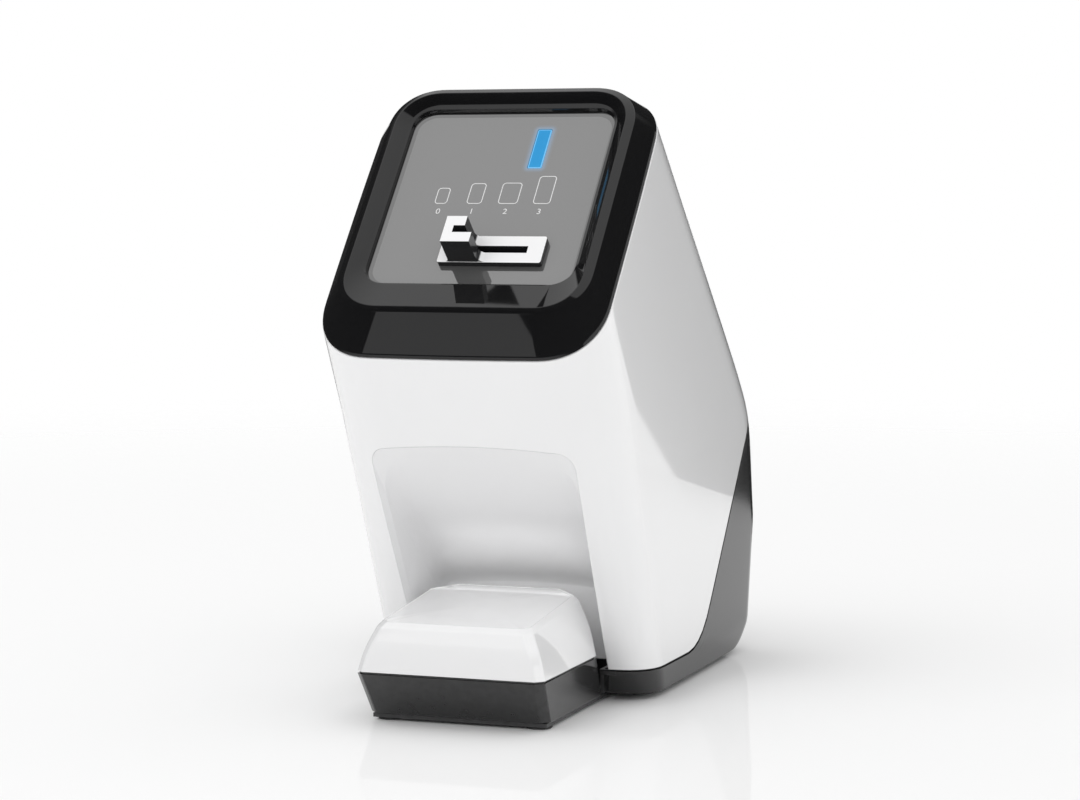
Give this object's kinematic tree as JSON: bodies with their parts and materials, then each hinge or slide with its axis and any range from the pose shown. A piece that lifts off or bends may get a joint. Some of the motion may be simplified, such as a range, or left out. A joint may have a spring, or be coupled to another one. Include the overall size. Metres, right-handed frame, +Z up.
{
  "type": "phosphor plate scanner",
  "caption": "Upright dental imaging plate scanner with a tilted black-rimmed inlet panel, slotted plate guide, leaning white shells, dark rear cover and a pull-out plate drawer.",
  "frame": {"origin": "centre of the footprint of the whole object, on the surface it stands on", "axes": "+X to the object's left side as seen from behind, that is the picture's right; +Y from the drawer towards the rear ports; +Z up"},
  "size_m": [0.16, 0.3303, 0.3332],
  "materials": {
    "white_plastic": "smooth satin moulding",
    "gloss_black": "piano gloss",
    "grey_glass": "polished, printed grey behind",
    "light_blue": "translucent, lit from behind",
    "dark_grey": "fine satin moulding",
    "soft_foam": "soft closed-cell foam",
    "rubber": "matte",
    "sheet_steel": "zinc-plated sheet",
    "bright_steel": "ground bright",
    "black_plastic": "fine texture",
    "white_gear": "moulded gear plastic",
    "board_green": "printed circuit board with its parts",
    "clear_acrylic": "polished",
    "mirror_silver": "polished mirror facets"
  },
  "bodies": {
    "housing": {"base_plate": "black_plastic", "base_screw_front_left": "bright_steel", "base_screw_front_right": "bright_steel", "base_screw_rear_left": "bright_steel", "base_screw_rear_right": "bright_steel", "bezel": "gloss_black", "data_port": "sheet_steel", "drive_motor": "sheet_steel", "erase_lamp": "white_plastic", "exit_bush_left": "white_gear", "exit_bush_right": "white_gear", "exit_chute": "black_plastic", "fan_frame": "black_plastic", "feed_bush_left": "white_gear", "feed_bush_right": "white_gear", "foot_front_left": "rubber", "foot_front_right": "rubber", "foot_rear_left": "rubber", "foot_rear_right": "rubber", "front_shell": "white_plastic", "glass_panel": "grey_glass", "guide_plate_front": "sheet_steel", "guide_plate_rear": "sheet_steel", "inlet_guide": "white_plastic", "laser_module": "bright_steel", "light_collector": "clear_acrylic", "light_detector": "sheet_steel", "light_seal": "soft_foam", "main_board": "board_green", "optics_bench": "sheet_steel", "pocket_liner": "white_plastic", "polygon_motor": "sheet_steel", "port_tray": "black_plastic", "power_board": "board_green", "power_inlet": "black_plastic", "power_switch_frame": "black_plastic", "rear_cover": "dark_grey", "scan_lens": "clear_acrylic", "side_plate_left": "sheet_steel", "side_plate_right": "sheet_steel", "spacer_rod": "bright_steel", "status_board": "board_green", "status_light_lens": "light_blue"},
    "drawer": {"drawer_tub": "dark_grey", "drawer_cap": "white_plastic", "drawer_pad": "soft_foam"},
    "feed_roller": {"feed_roller_shaft": "bright_steel", "feed_roller_sleeve": "rubber", "feed_gear": "white_gear"},
    "exit_roller": {"exit_roller_shaft": "bright_steel", "exit_roller_sleeve": "rubber", "exit_gear": "white_gear"},
    "feed_pinch": {"feed_pinch_roller": "bright_steel"},
    "exit_pinch": {"exit_pinch_roller": "bright_steel"},
    "idler": {"idler_gear": "white_gear"},
    "motor_rotor": {"motor_pinion": "bright_steel"},
    "polygon": {"polygon_mirror": "mirror_silver"},
    "fan": {"fan_rotor": "black_plastic"},
    "rocker": {"power_rocker": "black_plastic"}
  },
  "joints": [
    {"name": "drawer_slide", "type": "slide", "parent": "housing", "child": "drawer", "axis": [0, -1, 0], "range_m": [0, 0.09]},
    {"name": "feed_roller_spin", "type": "hinge", "parent": "housing", "child": "feed_roller", "pos_m": [0.01155, -0.10282, 0.21817], "axis": [1, 0, 0], "continuous": true},
    {"name": "exit_roller_spin", "type": "hinge", "parent": "housing", "child": "exit_roller", "pos_m": [0.01155, -0.04648, 0.16867], "axis": [1, 0, 0], "continuous": true},
    {"name": "feed_pinch_spin", "type": "hinge", "parent": "housing", "child": "feed_pinch", "pos_m": [0.01155, -0.09451, 0.22764], "axis": [1, 0, 0], "continuous": true},
    {"name": "exit_pinch_spin", "type": "hinge", "parent": "housing", "child": "exit_pinch", "pos_m": [0.01155, -0.03816, 0.17814], "axis": [1, 0, 0], "continuous": true},
    {"name": "idler_spin", "type": "hinge", "parent": "housing", "child": "idler", "pos_m": [0.044, -0.07465, 0.19342], "axis": [1, 0, 0], "continuous": true},
    {"name": "motor_spin", "type": "hinge", "parent": "housing", "child": "motor_rotor", "pos_m": [0.044, -0.0928, 0.17276], "axis": [1, 0, 0], "continuous": true},
    {"name": "polygon_spin", "type": "hinge", "parent": "housing", "child": "polygon", "pos_m": [0.01155, -0.01421, 0.25692], "axis": [0, -0.7513, 0.66], "continuous": true},
    {"name": "fan_spin", "type": "hinge", "parent": "housing", "child": "fan", "pos_m": [0, 0.15715, 0.094], "axis": [0, 1, 0], "continuous": true},
    {"name": "power_rocker_tilt", "type": "hinge", "parent": "housing", "child": "rocker", "pos_m": [-0.026, 0.14685, 0.041], "axis": [1, 0, 0], "range_deg": [-14, 0]}
  ],
  "couplings": [
    {"joint": "exit_roller_spin", "follows": "feed_roller_spin", "ratio": 1},
    {"joint": "feed_pinch_spin", "follows": "feed_roller_spin", "ratio": -1.4},
    {"joint": "exit_pinch_spin", "follows": "feed_roller_spin", "ratio": -1.4},
    {"joint": "idler_spin", "follows": "feed_roller_spin", "ratio": -0.74419},
    {"joint": "motor_spin", "follows": "feed_roller_spin", "ratio": 2.6667}
  ]
}
